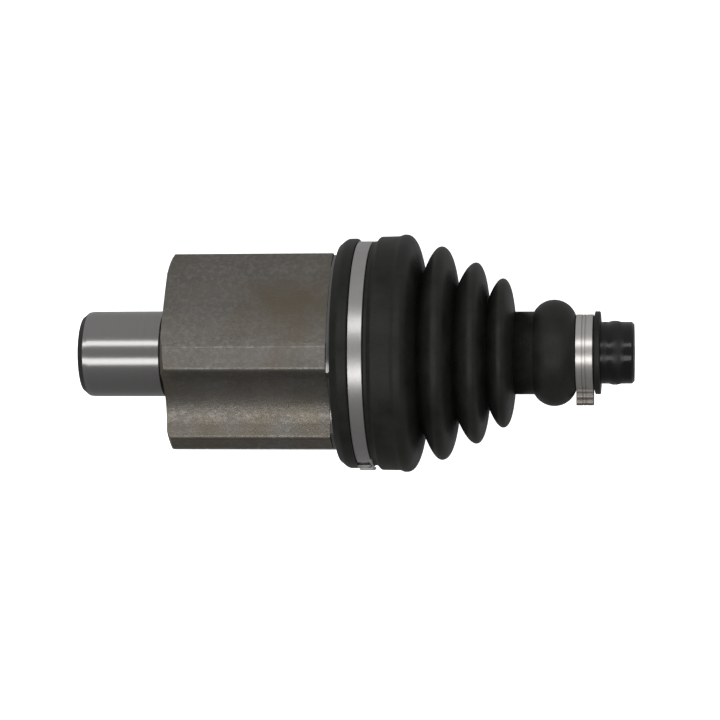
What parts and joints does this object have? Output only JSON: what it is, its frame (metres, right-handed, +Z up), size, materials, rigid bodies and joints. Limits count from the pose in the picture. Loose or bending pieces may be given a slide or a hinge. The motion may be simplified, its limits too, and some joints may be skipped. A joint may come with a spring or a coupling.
{
  "type": "inboard tripod cv axle joint",
  "caption": "Plunging tripod joint of a half-shaft: three-lobed steel housing with splined hub, rollers on a spider, clamped rubber boot and the start of the axle bar.",
  "frame": {"origin": "centre of the hub's end face, on the axle's axis", "axes": "+X along the axle from the hub's end face towards the bar; +Z up as the axle lies; one lobe of the housing points towards -Y"},
  "size_m": [0.2324, 0.0995, 0.0994],
  "materials": {
    "forged_steel": "forged, lightly oiled",
    "bearing_steel": "ground and hardened",
    "spring_steel": "oiled spring steel",
    "plated_cup": "zinc plated",
    "clamp_steel_large": "satin stainless strip",
    "clamp_steel_small": "bright stainless strip",
    "boot_rubber": "satin black rubber",
    "adapter_rubber": "matt black rubber",
    "painted_bar": "gloss black paint"
  },
  "bodies": {
    "housing": {"tulip_housing": "forged_steel", "bore_plug": "plated_cup", "mouth_ring": "spring_steel", "lobe_adapter": "adapter_rubber", "large_clamp": "clamp_steel_large", "boot_cuff": "boot_rubber"},
    "boot_front": {"boot_first_fold": "boot_rubber"},
    "boot_rear": {"boot_end_folds": "boot_rubber"},
    "axle": {"axle_bar": "painted_bar", "spider": "bearing_steel", "bar_clip_inner": "spring_steel", "bar_clip_outer": "spring_steel", "small_clamp": "clamp_steel_small", "boot_neck": "boot_rubber", "thrust_washer_1": "bearing_steel", "thrust_washer_2": "bearing_steel", "thrust_washer_3": "bearing_steel", "snap_ring_1": "spring_steel", "snap_ring_2": "spring_steel", "snap_ring_3": "spring_steel"},
    "roller_1": {"roller_1": "bearing_steel"},
    "needles_1": {"needle_set_1": "bearing_steel"},
    "roller_2": {"roller_2": "bearing_steel"},
    "needles_2": {"needle_set_2": "bearing_steel"},
    "roller_3": {"roller_3": "bearing_steel"},
    "needles_3": {"needle_set_3": "bearing_steel"}
  },
  "joints": [
    {"name": "plunge", "type": "slide", "parent": "housing", "child": "boot_front", "axis": [1, 0, 0], "range_m": [-0.012, 0.009], "deforming": ["boot_cuff", "boot_first_fold"]},
    {"name": "bend_about_y", "type": "hinge", "parent": "boot_front", "child": "boot_rear", "pos_m": [0.09, 0, 0], "axis": [0, 1, 0], "range_deg": [-8, 8], "deforming": ["boot_end_folds"]},
    {"name": "bend_about_z", "type": "hinge", "parent": "boot_rear", "child": "axle", "pos_m": [0.09, 0, 0], "axis": [0, 0, 1], "range_deg": [-8, 8], "deforming": ["boot_neck"]},
    {"name": "roller_1_spin", "type": "hinge", "parent": "axle", "child": "roller_1", "pos_m": [0.09, -0.0255, 0], "axis": [0, -1, 0], "range_deg": [-60, 60]},
    {"name": "needles_1_spin", "type": "hinge", "parent": "axle", "child": "needles_1", "pos_m": [0.09, -0.0255, 0], "axis": [0, -1, 0], "range_deg": [-60, 60]},
    {"name": "roller_2_spin", "type": "hinge", "parent": "axle", "child": "roller_2", "pos_m": [0.09, 0.01275, 0.02208], "axis": [0, 0.5, 0.866], "range_deg": [-60, 60]},
    {"name": "needles_2_spin", "type": "hinge", "parent": "axle", "child": "needles_2", "pos_m": [0.09, 0.01275, 0.02208], "axis": [0, 0.5, 0.866], "range_deg": [-60, 60]},
    {"name": "roller_3_spin", "type": "hinge", "parent": "axle", "child": "roller_3", "pos_m": [0.09, 0.01275, -0.02208], "axis": [0, 0.5, -0.866], "range_deg": [-60, 60]},
    {"name": "needles_3_spin", "type": "hinge", "parent": "axle", "child": "needles_3", "pos_m": [0.09, 0.01275, -0.02208], "axis": [0, 0.5, -0.866], "range_deg": [-60, 60]}
  ],
  "couplings": [
    {"joint": "roller_1_spin", "follows": "plunge", "rad_per_m": 55.556},
    {"joint": "needles_1_spin", "follows": "plunge", "rad_per_m": 31.118},
    {"joint": "roller_2_spin", "follows": "plunge", "rad_per_m": 55.556},
    {"joint": "needles_2_spin", "follows": "plunge", "rad_per_m": 31.118},
    {"joint": "roller_3_spin", "follows": "plunge", "rad_per_m": 55.556},
    {"joint": "needles_3_spin", "follows": "plunge", "rad_per_m": 31.118}
  ]
}
